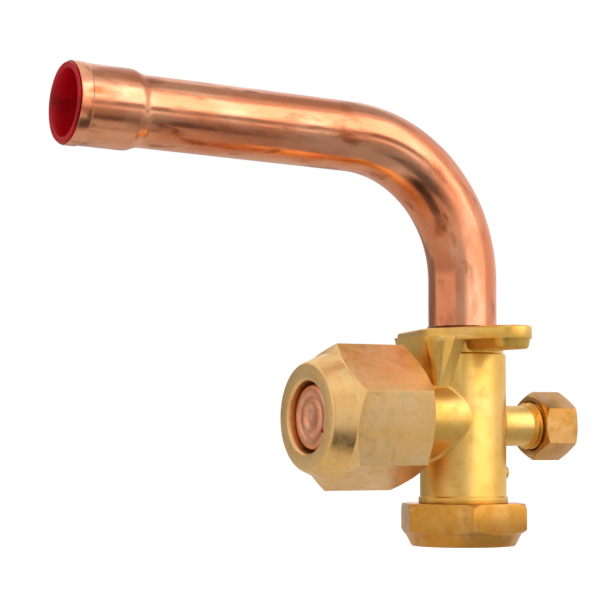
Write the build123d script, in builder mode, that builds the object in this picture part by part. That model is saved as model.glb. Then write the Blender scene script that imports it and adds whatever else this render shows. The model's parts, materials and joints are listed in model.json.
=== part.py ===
"""Gas-side service valve of a split air conditioner, 5/8 inch size, in millimetres.

The origin is the centre of the mounting face on the barrel's axis. +Z runs up the
copper tube that leaves the flange, -X out of the flare port, +X out of the service
port, and the two mounting ears lie along Y.
"""

from build123d import *
from math import radians, sqrt, tan
import os

# ---------------------------------------------------------------- driving dimensions

# Forged body and turned barrel
BARREL_R = 10.0
FLANGE_R = 10.6                 # flange where it rings the barrel
FLANGE_THICKNESS = 2.9
NECK_R = 9.4                    # rough neck between the flange and the turned barrel
NECK_END_Z = -6.0
EAR_PITCH = 38.0                # hole to hole
EAR_R = 5.0
EAR_HOLE_R = 2.8
EAR_BAR_R = 4.6                 # drafted bar that stiffens both ears from below
EAR_BAR_DEPTH = 2.3
EAR_BAR_DRAFT = 10.0            # degrees
BLOCK_X = (-14.6, -5.0)         # drafted block between the flange and the flare port
BLOCK_HALF_WIDTH = 9.4
BLOCK_TOP_Z = -2.1
BLOCK_DEPTH = 12.1
BLOCK_DRAFT = 15.0              # degrees
BLOCK_CORNER_R = 4.0
COLLAR_R = 10.35                # seating collar above the stem cap
COLLAR_TOP_Z = -38.5
CAP_THREAD_R = 9.0
BARREL_END_Z = -47.2
PIP_R = 2.0                     # small round pip on the barrel
PIP_HEIGHT = 0.9
PIP_BEARING = -22.0             # degrees from +X
PIP_Z = -33.2

# Copper tube, brazed into the top of the barrel
TUBE_R = 15.88 / 2
TUBE_BORE_R = TUBE_R - 1.0
SOCKET_DEPTH = 9.0
BRAZE_BEVEL = 0.9
BEND_R = 32.0
LEG_Z = 42.1                    # where the two centre lines of the elbow cross
LEG_RISE = 2.2                  # degrees above level
LEG_YAW = 1.6                   # degrees out of line with the flare port
LEG_REACH = 99.2                # from the crossing to the tube's open end
SWAGE_R = 8.9
SWAGE_BORE_R = 8.0              # takes another 5/8 inch tube
SWAGE_LENGTH = 13.5
SWAGE_TAPER = 3.6
SWAGE_LEAD = 3.0                # plain tube before the taper
BELL_R = 9.1
BELL_LENGTH = 2.6

# Plug that keeps the tube clean
PLUG_FLANGE_R = 8.7
PLUG_FLANGE = 0.6
PLUG_R = 7.6
PLUG_RIB_R = 7.95
PLUG_WALL = 0.9
PLUG_DEPTH = 9.5

# Flare port and its nut, distances measured outward from the barrel's axis
FLARE_Z = -20.6
FLARE_NECK_R = 9.3
FLARE_THREAD_R = 22.225 / 2     # 7/8 inch
FLARE_THREAD_START = 17.8
FLARE_CONE_START = 29.3         # a 45 degree cone
FLARE_CONE_R = 10.4
FLARE_TIP_R = 6.2
FLARE_TIP = FLARE_CONE_START + FLARE_CONE_R - FLARE_TIP_R
FLARE_BORE_R = 5.2
NUT_FLATS = 29.0
NUT_TURN = 80.2                 # degrees, where one corner of the hexagon stands
NUT_BACK = 16.8
NUT_HEX_END = 35.5              # corners end here, flats run on to the nose
NUT_NOSE_START = 36.9
NUT_NOSE_BASE_R = 14.2
NUT_FRONT = 41.9
NUT_NOSE_R = 12.0
NUT_HOLE_R = 8.1
BONNET_WALL = 0.8
BONNET_R = 7.25
BONNET_END = 40.2

# Service port
SERVICE_Z = -22.3
SERVICE_NECK_R = 4.7
SERVICE_THREAD_R = 5.5
SERVICE_THREAD_START = 17.8
SERVICE_END = 25.9
SERVICE_CAP_FLATS = 14.0
SERVICE_CAP_BACK = 18.9
SERVICE_CAP_FRONT = 28.0
GASKET_THICKNESS = 0.6

# Valve core in the service port, distances outward from the barrel's axis
CORE_PASSAGE_R = 1.3
CORE_SHOULDER = 10.6
CORE_BORE_R = 2.2
CORE_CONE = (19.5, 20.4)
CORE_THREAD_BORE_R = 2.65
CORE_PLUG_R = 2.6
CORE_PLUG = (21.6, 24.8)
CORE_TONGUE = 1.8
CORE_BARREL_R = 1.95
CORE_BARREL = (17.2, 21.5)
CORE_HOLE_R = 0.75
PIN_R = 0.5
PIN_ENDS = (9.0, 25.2)
POPPET_R = 1.8
POPPET_BACK = 15.2
SPRING_R = 1.3
SPRING_WIRE_R = 0.18
SPRING_COILS = 5
SPRING_SEAT_R = 2.1
SPRING_SEAT_THICKNESS = 0.5

# Stem, its bore and its cap
SEAT_BORE_R = 4.8
SEAT_TOP_Z = -11.0
SEAT_EDGE_Z = -13.0             # where the 45 degree seat starts to open
STEM_BORE_R = 6.05
STEM_BORE_END_Z = -33.0
SEAL_BORE_R = 6.6
STEM_NECK_R = 3.4
STEM_HEAD_R = 5.85
STEM_TIP_R = 4.0
STEM_THREAD_R = 6.0
STEM_SEAL_R = 6.5
STEM_SEAL_Z = -33.3
STEM_END_Z = -40.3
STEM_KEY_FLATS = 5.0
O_RING_CORD_R = 0.89
O_RING_R = 5.65                 # centre of the cord
O_RING_GROOVE_R = 4.7
O_RING_GROOVE_WIDTH = 2.2
O_RING_Z = {"stem_o_ring_inner": -35.0, "stem_o_ring_outer": -38.1}
RING_TOP_Z = -45.35             # stops the stem after 5 mm of lift
RING_THICKNESS = 0.8
RING_GROOVE_R = 7.25
RING_BORE_R = 5.9
STEM_CAP_FLATS = 27.0
STEM_CAP_TURN = 4.9             # degrees, where one corner of the hexagon stands
STEM_CAP_TOP_Z = -40.2
STEM_CAP_BOTTOM_Z = -50.0
STEM_CAP_FACE_R = 12.1
STEM_CAP_BREAK_R = 13.4         # where the end's round turns steeper
STEM_CAP_FLOOR_Z = -48.15
STEM_GASKET_BORE_R = 6.9

GAP = 0.1                       # between a screwed or seated piece and its neighbour
CONE_GAP = GAP * sqrt(2)        # the same gap, measured along the axis of a 45 degree cone

# ---------------------------------------------------------------- working planes and axes

# On a profile plane local x runs outward along the port and local y is the radius.
flare_profile = Plane(origin=(0, 0, FLARE_Z), x_dir=(-1, 0, 0), z_dir=(0, 1, 0))
flare_face = Plane(origin=(0, 0, FLARE_Z), x_dir=(0, -1, 0), z_dir=(-1, 0, 0))
flare_axis = Axis((0, 0, FLARE_Z), (-1, 0, 0))
service_profile = Plane(origin=(0, 0, SERVICE_Z), x_dir=(1, 0, 0), z_dir=(0, -1, 0))
service_face = Plane(origin=(0, 0, SERVICE_Z), x_dir=(0, 1, 0), z_dir=(1, 0, 0))
service_axis = Axis((0, 0, SERVICE_Z), (1, 0, 0))

# The elbow bends in one upright plane, turned a little from the flare port.
elbow_plane = Plane.XZ.rotated((0, 0, 180 - LEG_YAW))
elbow_tangent = BEND_R * tan(radians(90 - LEG_RISE) / 2)
swage_total = SWAGE_TAPER + SWAGE_LENGTH

with BuildLine(elbow_plane) as elbow_path:
    riser = Line((0, -SOCKET_DEPTH), (0, LEG_Z - elbow_tangent))
    bend = JernArc(riser @ 1, riser % 1, radius=BEND_R, arc_size=LEG_RISE - 90)
    leg = Line(
        bend @ 1,
        bend @ 1 + (bend % 1) * (LEG_REACH - elbow_tangent - swage_total - SWAGE_LEAD),
    )

# Local x runs outward along the leg, from where the tube starts to widen.
leg_direction = leg % 1
leg_profile = Plane(
    origin=leg @ 1 + leg_direction * SWAGE_LEAD, x_dir=leg_direction, z_dir=elbow_plane.z_dir
)
leg_axis = Axis(leg_profile.origin, leg_direction)

# ---------------------------------------------------------------- valve body

with BuildPart() as valve_body:
    # Barrel with the seating collar and the stem cap's thread
    with BuildSketch(Plane.XZ):
        with BuildLine():
            Polyline(
                (0, 0),
                (NECK_R, 0),
                (NECK_R, NECK_END_Z + 0.4),
                (BARREL_R, NECK_END_Z),
                (BARREL_R, COLLAR_TOP_Z),
                (COLLAR_R, COLLAR_TOP_Z - 0.35),
                (COLLAR_R, STEM_CAP_TOP_Z + GAP),
                (CAP_THREAD_R, STEM_CAP_TOP_Z + GAP),
                (CAP_THREAD_R, BARREL_END_Z + 0.8),
                (CAP_THREAD_R - 0.8, BARREL_END_Z),
                (0, BARREL_END_Z),
                close=True,
            )
        make_face()
    revolve(axis=Axis.Z)

    # Flare port: neck, thread and cone
    with BuildSketch(flare_profile):
        with BuildLine():
            Polyline(
                (0, 0),
                (0, FLARE_NECK_R),
                (FLARE_THREAD_START - 1.2, FLARE_NECK_R),
                (FLARE_THREAD_START, FLARE_THREAD_R),
                (FLARE_CONE_START - 0.7, FLARE_THREAD_R),
                (FLARE_CONE_START, FLARE_CONE_R),
                (FLARE_TIP, FLARE_TIP_R),
                (FLARE_TIP, 0),
                close=True,
            )
        make_face()
    revolve(axis=flare_axis)

    # Service port: neck and thread
    with BuildSketch(service_profile):
        with BuildLine():
            Polyline(
                (0, 0),
                (0, SERVICE_NECK_R),
                (SERVICE_THREAD_START - 0.8, SERVICE_NECK_R),
                (SERVICE_THREAD_START, SERVICE_THREAD_R),
                (SERVICE_END - 0.6, SERVICE_THREAD_R),
                (SERVICE_END, SERVICE_THREAD_R - 0.6),
                (SERVICE_END, 0),
                close=True,
            )
        make_face()
    revolve(axis=service_axis)

    # Forging radii where the two ports grow out of the barrel
    barrel_skin = valve_body.faces().filter_by(GeomType.CYLINDER).filter_by(
        lambda face: abs(face.radius - BARREL_R) < 0.01
    )
    port_roots = barrel_skin.edges().filter_by(GeomType.BSPLINE)
    fillet(port_roots.filter_by(lambda edge: edge.center().X < 0), radius=1.4)
    port_roots = valve_body.edges().filter_by(GeomType.BSPLINE)
    fillet(port_roots.filter_by(lambda edge: edge.center().X > BARREL_R / 2), radius=0.9)

    # Flange: one outline round the neck and both ears, with a drafted bar below the ears
    ear_centres = ((0, EAR_PITCH / 2), (0, -EAR_PITCH / 2))
    with BuildSketch(Plane.XY):
        Circle(FLANGE_R)
        with Locations(*ear_centres):
            Circle(EAR_R)
        make_hull()
    extrude(amount=-FLANGE_THICKNESS)
    with BuildSketch(Plane.XY.offset(-FLANGE_THICKNESS)):
        with Locations(*ear_centres):
            Circle(EAR_BAR_R)
        make_hull()
    extrude(amount=-EAR_BAR_DEPTH, taper=EAR_BAR_DRAFT)

    # Block that runs from under the flange into the flare port
    with BuildSketch(Plane.XY.offset(BLOCK_TOP_Z)) as block_outline:
        with Locations((sum(BLOCK_X) / 2, 0)):
            Rectangle(BLOCK_X[1] - BLOCK_X[0], 2 * BLOCK_HALF_WIDTH)
        fillet(block_outline.vertices().sort_by(Axis.X)[:2], radius=BLOCK_CORNER_R)
    extrude(amount=-BLOCK_DEPTH, taper=BLOCK_DRAFT)

    # Small round pip on the barrel below the service port
    pip_bearing = Vector(1, 0, 0).rotate(Axis.Z, PIP_BEARING)
    with Locations(pip_bearing * (BARREL_R + PIP_HEIGHT - PIP_R) + Vector(0, 0, PIP_Z)):
        Sphere(PIP_R)

    # Tube socket, chamber, conical seat, stem bore and retaining groove
    ring_groove_end_z = RING_TOP_Z - RING_THICKNESS - GAP
    with BuildSketch(Plane.XZ):
        with BuildLine():
            Polyline(
                (0, 0),
                (TUBE_R + BRAZE_BEVEL, 0),
                (TUBE_R, -BRAZE_BEVEL),
                (TUBE_R, -SOCKET_DEPTH),
                (TUBE_BORE_R, -SOCKET_DEPTH),
                (TUBE_BORE_R, SEAT_TOP_Z + 0.6),
                (TUBE_BORE_R - 0.6, SEAT_TOP_Z),
                (SEAT_BORE_R, SEAT_TOP_Z),
                (SEAT_BORE_R, SEAT_EDGE_Z),
                (STEM_BORE_R, SEAT_EDGE_Z - STEM_BORE_R + SEAT_BORE_R),
                (STEM_BORE_R, STEM_BORE_END_Z),
                (SEAL_BORE_R, STEM_BORE_END_Z - 0.2),
                (SEAL_BORE_R, RING_TOP_Z),
                (RING_GROOVE_R, RING_TOP_Z),
                (RING_GROOVE_R, ring_groove_end_z),
                (SEAL_BORE_R, ring_groove_end_z),
                (SEAL_BORE_R, BARREL_END_Z + 0.5),
                (SEAL_BORE_R + 0.5, BARREL_END_Z),
                (0, BARREL_END_Z),
                close=True,
            )
        make_face()
    revolve(axis=Axis.Z, mode=Mode.SUBTRACT)

    # Bore of the flare port
    with BuildSketch(flare_face):
        Circle(FLARE_BORE_R)
    extrude(amount=FLARE_TIP, mode=Mode.SUBTRACT)

    # Bore of the service port, stepped and tapered for its valve core
    with BuildSketch(service_profile):
        with BuildLine():
            Polyline(
                (0, 0),
                (0, CORE_PASSAGE_R),
                (CORE_SHOULDER, CORE_PASSAGE_R),
                (CORE_SHOULDER, CORE_BORE_R),
                (CORE_CONE[0], CORE_BORE_R),
                (CORE_CONE[1], CORE_THREAD_BORE_R),
                (SERVICE_END - 0.6, CORE_THREAD_BORE_R),
                (SERVICE_END, CORE_THREAD_BORE_R + 0.6),
                (SERVICE_END, 0),
                close=True,
            )
        make_face()
    revolve(axis=service_axis, mode=Mode.SUBTRACT)

    # Screw holes in the ears
    with Locations(*ear_centres):
        Hole(EAR_HOLE_R)

# ---------------------------------------------------------------- copper tube and its plug

with BuildPart() as elbow_tube:
    # Socket at the open end, widened in two steps
    with BuildSketch(leg_profile) as swage_section:
        with BuildLine():
            Polyline(
                (-SWAGE_LEAD, TUBE_R),
                (0, TUBE_R),
                (SWAGE_TAPER, SWAGE_R),
                (swage_total - BELL_LENGTH - 0.5, SWAGE_R),
                (swage_total - BELL_LENGTH, BELL_R),
                (swage_total, BELL_R),
                (swage_total, SWAGE_BORE_R + 0.3),
                (swage_total - 0.6, SWAGE_BORE_R),
                (SWAGE_TAPER, SWAGE_BORE_R),
                (0, TUBE_BORE_R),
                (-SWAGE_LEAD, TUBE_BORE_R),
                close=True,
            )
        make_face()
        taper_corners = swage_section.vertices().filter_by(
            lambda corner: -0.1 < corner.X < SWAGE_TAPER + 0.1
        )
        fillet(taper_corners, radius=2.5)
    revolve(axis=leg_axis)

    # Plain tube: riser, bend and leg
    with BuildSketch(Plane(elbow_path.line @ 0, z_dir=elbow_path.line % 0)):
        Circle(TUBE_R)
        Circle(TUBE_BORE_R, mode=Mode.SUBTRACT)
    sweep(path=elbow_path.line)

with BuildPart() as braze_ring:
    # Filler drawn into the bevel of the socket, hollow between tube and flange
    with BuildSketch(Plane.XZ):
        with BuildLine():
            Polyline(
                (TUBE_R, -BRAZE_BEVEL),
                (TUBE_R + BRAZE_BEVEL, 0),
                (TUBE_R + 0.3 * BRAZE_BEVEL, 0.2 * BRAZE_BEVEL),
                (TUBE_R, 0.7 * BRAZE_BEVEL),
                close=True,
            )
        make_face()
    revolve(axis=Axis.Z)

with BuildPart() as tube_plug:
    # Thin-walled cup with a flange over the tube's end and three gripping ribs
    plug_inner = swage_total + PLUG_FLANGE - PLUG_DEPTH
    with BuildSketch(leg_profile) as plug_section:
        with BuildLine():
            Polyline(
                (plug_inner - PLUG_WALL, 0),
                (plug_inner - PLUG_WALL, PLUG_R - 1.5),
                (plug_inner + 0.6, PLUG_R),
                (swage_total + GAP / 2, PLUG_R),
                (swage_total + GAP / 2, PLUG_FLANGE_R),
                (swage_total + PLUG_FLANGE, PLUG_FLANGE_R),
                (swage_total + PLUG_FLANGE, PLUG_R - PLUG_WALL + 0.3),
                (plug_inner, PLUG_R - PLUG_WALL - 0.3),
                (plug_inner, 0),
                close=True,
            )
        make_face()
        for rib in (1.5, 3.5, 5.5):
            with Locations((swage_total - rib, PLUG_R)):
                Rectangle(0.7, 2 * (PLUG_RIB_R - PLUG_R))
    revolve(axis=leg_axis)

# ---------------------------------------------------------------- flare nut and bonnet

with BuildPart() as flare_nut:
    # Turned outline, then cut to a hexagon, so that its chamfers leave curved flats
    nut_corner_r = NUT_FLATS / sqrt(3)
    with BuildSketch(flare_profile) as nut_outline:
        with BuildLine():
            Polyline(
                (NUT_BACK, 0),
                (NUT_BACK, NUT_FLATS / 2 - 0.3),
                (NUT_BACK + 1.3, nut_corner_r),
                (NUT_HEX_END, nut_corner_r),
                (NUT_NOSE_START, NUT_NOSE_BASE_R),
                (NUT_FRONT, NUT_NOSE_R),
                (NUT_FRONT, 0),
                close=True,
            )
        make_face()
        nose_edge = nut_outline.vertices().sort_by(Axis.X)[-2:].sort_by(Axis.Y)[-1]
        fillet(nose_edge, radius=0.6)
    revolve(axis=flare_axis)
    with BuildSketch(flare_face):
        RegularPolygon(NUT_FLATS / 2, 6, major_radius=False, rotation=NUT_TURN)
    extrude(amount=NUT_FRONT, mode=Mode.INTERSECT)

    # Thread bore, 45 degree seat and clearance hole for the pipe
    seat_sum = FLARE_CONE_START + FLARE_CONE_R + 2 * CONE_GAP + BONNET_WALL * sqrt(2)
    nut_bore_r = FLARE_THREAD_R + GAP
    with BuildSketch(flare_profile):
        with BuildLine():
            Polyline(
                (NUT_BACK, 0),
                (NUT_BACK, nut_bore_r + 0.8),
                (NUT_BACK + 0.8, nut_bore_r),
                (seat_sum - nut_bore_r, nut_bore_r),
                (seat_sum - NUT_HOLE_R, NUT_HOLE_R),
                (NUT_FRONT - 0.4, NUT_HOLE_R),
                (NUT_FRONT, NUT_HOLE_R + 0.4),
                (NUT_FRONT, 0),
                close=True,
            )
        make_face()
    revolve(axis=flare_axis, mode=Mode.SUBTRACT)

with BuildPart() as sealing_bonnet:
    # Drawn copper cup: its skirt is pinched between the two cones, its end shows in the nut
    skirt_sum = FLARE_CONE_START + FLARE_CONE_R + CONE_GAP
    outer_sum = skirt_sum + BONNET_WALL * sqrt(2)
    cup_bore_r = BONNET_R - BONNET_WALL
    skirt_r = FLARE_CONE_R - 0.2
    with BuildSketch(flare_profile) as bonnet_section:
        with BuildLine():
            Polyline(
                (skirt_sum - skirt_r, skirt_r),
                (skirt_sum - cup_bore_r, cup_bore_r),
                (BONNET_END - BONNET_WALL, cup_bore_r),
                (BONNET_END - BONNET_WALL, 0),
                (BONNET_END - 0.3, 0),
                (BONNET_END - 0.3, 2.2),
                (BONNET_END, 2.9),
                (BONNET_END, 4.0),
                (BONNET_END - 0.25, 4.5),
                (BONNET_END - 0.25, 5.0),
                (BONNET_END, 5.5),
                (BONNET_END, BONNET_R),
                (outer_sum - BONNET_R, BONNET_R),
                (outer_sum - skirt_r, skirt_r),
                close=True,
            )
        make_face()
        drawn_corner = bonnet_section.vertices().filter_by(
            lambda corner: abs(corner.X - BONNET_END) < 0.01 and abs(corner.Y - BONNET_R) < 0.01
        )
        fillet(drawn_corner, radius=0.9)
    revolve(axis=flare_axis)

# ---------------------------------------------------------------- stem, its seals and its ring

with BuildPart() as valve_stem:
    head_shoulder_z = SEAT_EDGE_Z - CONE_GAP - STEM_HEAD_R + SEAT_BORE_R
    with BuildSketch(Plane.XZ):
        with BuildLine():
            Polyline(
                (0, head_shoulder_z + STEM_HEAD_R - STEM_TIP_R),
                (STEM_TIP_R, head_shoulder_z + STEM_HEAD_R - STEM_TIP_R),
                (STEM_HEAD_R, head_shoulder_z),
                (STEM_HEAD_R, head_shoulder_z - 1.4),
                (STEM_NECK_R, head_shoulder_z - 3.2),
                (STEM_NECK_R, -24.6),
                (STEM_THREAD_R - 0.6, -25.8),
                (STEM_THREAD_R, -26.4),
                (STEM_THREAD_R, STEM_SEAL_Z + 0.9),
                (STEM_THREAD_R - 0.5, STEM_SEAL_Z + 0.4),
                (STEM_THREAD_R - 0.5, STEM_SEAL_Z),
                (STEM_SEAL_R, STEM_SEAL_Z - 0.2),
                (STEM_SEAL_R, STEM_END_Z + 0.4),
                (STEM_SEAL_R - 0.4, STEM_END_Z),
                (0, STEM_END_Z),
                close=True,
            )
        make_face()
        for ring_z in O_RING_Z.values():
            with Locations((STEM_SEAL_R, ring_z)):
                Rectangle(
                    2 * (STEM_SEAL_R - O_RING_GROOVE_R), O_RING_GROOVE_WIDTH, mode=Mode.SUBTRACT
                )
    revolve(axis=Axis.Z)

    # Socket for a hexagon key, with a drilled point at its bottom
    with BuildSketch(Plane.XY.offset(STEM_END_Z)):
        RegularPolygon(STEM_KEY_FLATS / 2, 6, major_radius=False)
    extrude(amount=5.5, mode=Mode.SUBTRACT)
    with BuildSketch(Plane.XZ):
        with BuildLine():
            Polyline(
                (0, STEM_END_Z + 5.4),
                (STEM_KEY_FLATS / 2, STEM_END_Z + 5.4),
                (0, STEM_END_Z + 6.9),
                close=True,
            )
        make_face()
    revolve(axis=Axis.Z, mode=Mode.SUBTRACT)

# The cord is squeezed flat where it meets the groove and the bore.
o_rings = {}
for name, ring_z in O_RING_Z.items():
    with BuildPart() as o_ring:
        with BuildSketch(Plane.XZ):
            with Locations((O_RING_R, ring_z)):
                RegularPolygon(O_RING_CORD_R, 8, major_radius=False, rotation=22.5)
        revolve(axis=Axis.Z)
    o_rings[name] = o_ring

with BuildPart() as stem_retaining_ring:
    # Spring clip for a bore: an open ring with two drilled lugs
    with BuildSketch(Plane.XY.offset(RING_TOP_Z - GAP / 2)):
        Circle(RING_GROOVE_R - GAP / 2)
        Circle(RING_BORE_R, mode=Mode.SUBTRACT)
        with Locations((2.1, -RING_BORE_R + 0.5), (-2.1, -RING_BORE_R + 0.5)):
            Rectangle(1.9, 2.4)
        with Locations((0, -RING_GROOVE_R)):
            Rectangle(2.3, 6.0, mode=Mode.SUBTRACT)
        with Locations((2.1, -RING_BORE_R + 0.2), (-2.1, -RING_BORE_R + 0.2)):
            Circle(0.5, mode=Mode.SUBTRACT)
    extrude(amount=-RING_THICKNESS)

# ---------------------------------------------------------------- stem cap

with BuildPart() as stem_cap:
    cap_corner_r = STEM_CAP_FLATS / sqrt(3)
    with BuildSketch(Plane.XZ):
        with BuildLine():
            Polyline(
                (0, STEM_CAP_TOP_Z),
                (cap_corner_r - 1.0, STEM_CAP_TOP_Z),
                (cap_corner_r, STEM_CAP_TOP_Z - 1.1),
                (cap_corner_r, STEM_CAP_BOTTOM_Z + 4.0),
                (STEM_CAP_BREAK_R, STEM_CAP_BOTTOM_Z + 2.8),
                (STEM_CAP_FACE_R, STEM_CAP_BOTTOM_Z + 0.3),
                (STEM_CAP_FACE_R - 0.3, STEM_CAP_BOTTOM_Z),
                (0, STEM_CAP_BOTTOM_Z),
                close=True,
            )
        make_face()
    revolve(axis=Axis.Z)
    with BuildSketch(Plane.XY.offset(STEM_CAP_BOTTOM_Z)):
        RegularPolygon(STEM_CAP_FLATS / 2, 6, major_radius=False, rotation=STEM_CAP_TURN)
    extrude(amount=STEM_CAP_TOP_Z - STEM_CAP_BOTTOM_Z, mode=Mode.INTERSECT)

    # Thread bore, with an undercut beside the gasket
    cap_bore_r = CAP_THREAD_R + GAP
    with BuildSketch(Plane.XZ):
        with BuildLine():
            Polyline(
                (0, STEM_CAP_TOP_Z),
                (cap_bore_r + 0.7, STEM_CAP_TOP_Z),
                (cap_bore_r, STEM_CAP_TOP_Z - 0.7),
                (cap_bore_r, STEM_CAP_FLOOR_Z + 1.2),
                (cap_bore_r + 0.4, STEM_CAP_FLOOR_Z + 0.8),
                (cap_bore_r + 0.4, STEM_CAP_FLOOR_Z),
                (0, STEM_CAP_FLOOR_Z),
                close=True,
            )
        make_face()
    revolve(axis=Axis.Z, mode=Mode.SUBTRACT)

with BuildPart() as stem_cap_gasket:
    with BuildSketch(Plane.XY.offset(BARREL_END_Z - GAP)):
        Circle(CAP_THREAD_R - 0.1)
        Circle(STEM_GASKET_BORE_R, mode=Mode.SUBTRACT)
    extrude(amount=STEM_CAP_FLOOR_Z + GAP / 2 - BARREL_END_Z + GAP)

# ---------------------------------------------------------------- service cap

with BuildPart() as service_cap:
    service_corner_r = SERVICE_CAP_FLATS / sqrt(3)
    with BuildSketch(service_profile):
        with BuildLine():
            Polyline(
                (SERVICE_CAP_BACK, 0),
                (SERVICE_CAP_BACK, SERVICE_CAP_FLATS / 2 - 0.2),
                (SERVICE_CAP_BACK + 0.7, service_corner_r),
                (SERVICE_CAP_FRONT - 0.6, service_corner_r),
                (SERVICE_CAP_FRONT, SERVICE_CAP_FLATS / 2 - 0.3),
                (SERVICE_CAP_FRONT, 0),
                close=True,
            )
        make_face()
    revolve(axis=service_axis)
    with BuildSketch(service_face):
        RegularPolygon(SERVICE_CAP_FLATS / 2, 6, major_radius=False, rotation=90)
    extrude(amount=SERVICE_CAP_FRONT, mode=Mode.INTERSECT)

    service_floor = SERVICE_END + GAP + GASKET_THICKNESS + GAP / 2
    service_bore_r = SERVICE_THREAD_R + GAP
    with BuildSketch(service_profile):
        with BuildLine():
            Polyline(
                (SERVICE_CAP_BACK, 0),
                (SERVICE_CAP_BACK, service_bore_r + 0.5),
                (SERVICE_CAP_BACK + 0.5, service_bore_r),
                (service_floor, service_bore_r),
                (service_floor, 0),
                close=True,
            )
        make_face()
    revolve(axis=service_axis, mode=Mode.SUBTRACT)

with BuildPart() as service_cap_gasket:
    with BuildSketch(service_face.offset(SERVICE_END + GAP)):
        Circle(SERVICE_THREAD_R - 0.1)
        Circle(CORE_THREAD_BORE_R + 0.7, mode=Mode.SUBTRACT)
    extrude(amount=GASKET_THICKNESS)

# ---------------------------------------------------------------- valve core

with BuildPart() as core_plug:
    # Threaded head, milled to a tongue for the core key, with flow passing round the pin
    with BuildSketch(service_face.offset(CORE_PLUG[0])):
        Circle(CORE_PLUG_R)
        Circle(CORE_HOLE_R, mode=Mode.SUBTRACT)
        with Locations((1.5, 0), (-1.5, 0)):
            Circle(0.6, mode=Mode.SUBTRACT)
    extrude(amount=CORE_PLUG[1] - CORE_PLUG[0])
    with BuildSketch(service_face.offset(CORE_PLUG[1])):
        Circle(CORE_PLUG_R + 1)
        Rectangle(CORE_TONGUE, 2 * CORE_PLUG_R + 2, mode=Mode.SUBTRACT)
    extrude(amount=-1.9, mode=Mode.SUBTRACT)

with BuildPart() as core_barrel:
    with BuildSketch(service_profile):
        with BuildLine():
            Polyline(
                (CORE_BARREL[0], CORE_HOLE_R),
                (CORE_BARREL[0], CORE_BARREL_R - 0.5),
                (CORE_BARREL[0] + 0.5, CORE_BARREL_R),
                (CORE_CONE[0] - 0.05, CORE_BARREL_R),
                (CORE_CONE[0] - 0.05, CORE_BARREL_R - 0.35),
                (CORE_CONE[1] + 0.15, CORE_BARREL_R - 0.35),
                (CORE_CONE[1] + 0.15, CORE_PLUG_R - 0.15),
                (CORE_BARREL[1], CORE_PLUG_R - 0.15),
                (CORE_BARREL[1], CORE_HOLE_R),
                close=True,
            )
        make_face()
    revolve(axis=service_axis)

with BuildPart() as core_seal:
    # Tapered ring that seals the core in the cone of the service port
    seal_bore_r = CORE_BARREL_R - 0.35
    with BuildSketch(service_profile):
        with BuildLine():
            Polyline(
                (CORE_CONE[0], seal_bore_r),
                (CORE_CONE[0], CORE_BORE_R - 0.03),
                (CORE_CONE[1], CORE_THREAD_BORE_R - 0.03),
                (CORE_CONE[1] + 0.1, CORE_THREAD_BORE_R - 0.03),
                (CORE_CONE[1] + 0.1, seal_bore_r),
                close=True,
            )
        make_face()
    revolve(axis=service_axis)

with BuildPart() as core_pin:
    with BuildSketch(service_face.offset(PIN_ENDS[0])):
        Circle(PIN_R)
    extrude(amount=PIN_ENDS[1] - PIN_ENDS[0])
    chamfer(core_pin.edges().filter_by(GeomType.CIRCLE), length=0.15)

with BuildPart() as core_poppet:
    # Shallow cup, crimped on the pin, that holds the rubber
    with BuildSketch(service_profile):
        with BuildLine():
            Polyline(
                (POPPET_BACK, PIN_R),
                (POPPET_BACK, POPPET_R - 0.3),
                (POPPET_BACK + 0.3, POPPET_R),
                (CORE_BARREL[0] - 0.5, POPPET_R),
                (CORE_BARREL[0] - 0.5, POPPET_R - 0.3),
                (POPPET_BACK + 0.5, POPPET_R - 0.3),
                (POPPET_BACK + 0.5, PIN_R),
                close=True,
            )
        make_face()
    revolve(axis=service_axis)

with BuildPart() as poppet_seal:
    with BuildSketch(service_face.offset(POPPET_BACK + 0.5)):
        Circle(POPPET_R - 0.3)
        Circle(PIN_R, mode=Mode.SUBTRACT)
    extrude(amount=CORE_BARREL[0] - GAP - POPPET_BACK - 0.5)

with BuildPart() as spring_seat:
    # Dished washer that rests on the shoulder of the bore
    with BuildSketch(service_profile):
        with BuildLine():
            seat_face = CORE_SHOULDER + SPRING_SEAT_THICKNESS
            Polyline(
                (CORE_SHOULDER, CORE_HOLE_R),
                (CORE_SHOULDER, SPRING_SEAT_R),
                (seat_face + 0.4, SPRING_SEAT_R),
                (seat_face + 0.4, SPRING_R + 0.4),
                (seat_face, SPRING_R + 0.4),
                (seat_face, CORE_HOLE_R),
                close=True,
            )
        make_face()
    revolve(axis=service_axis)

with BuildPart() as core_spring:
    spring_start = CORE_SHOULDER + SPRING_SEAT_THICKNESS + SPRING_WIRE_R
    spring_length = POPPET_BACK - SPRING_WIRE_R - spring_start
    with BuildLine() as coil:
        Helix(
            pitch=spring_length / SPRING_COILS,
            height=spring_length,
            radius=SPRING_R,
            center=(spring_start, 0, SERVICE_Z),
            direction=(1, 0, 0),
        )
    with BuildSketch(Plane(coil.line @ 0, z_dir=coil.line % 0)):
        RegularPolygon(SPRING_WIRE_R, 6)
    sweep(path=coil.line, is_frenet=True)

# ---------------------------------------------------------------- export

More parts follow.
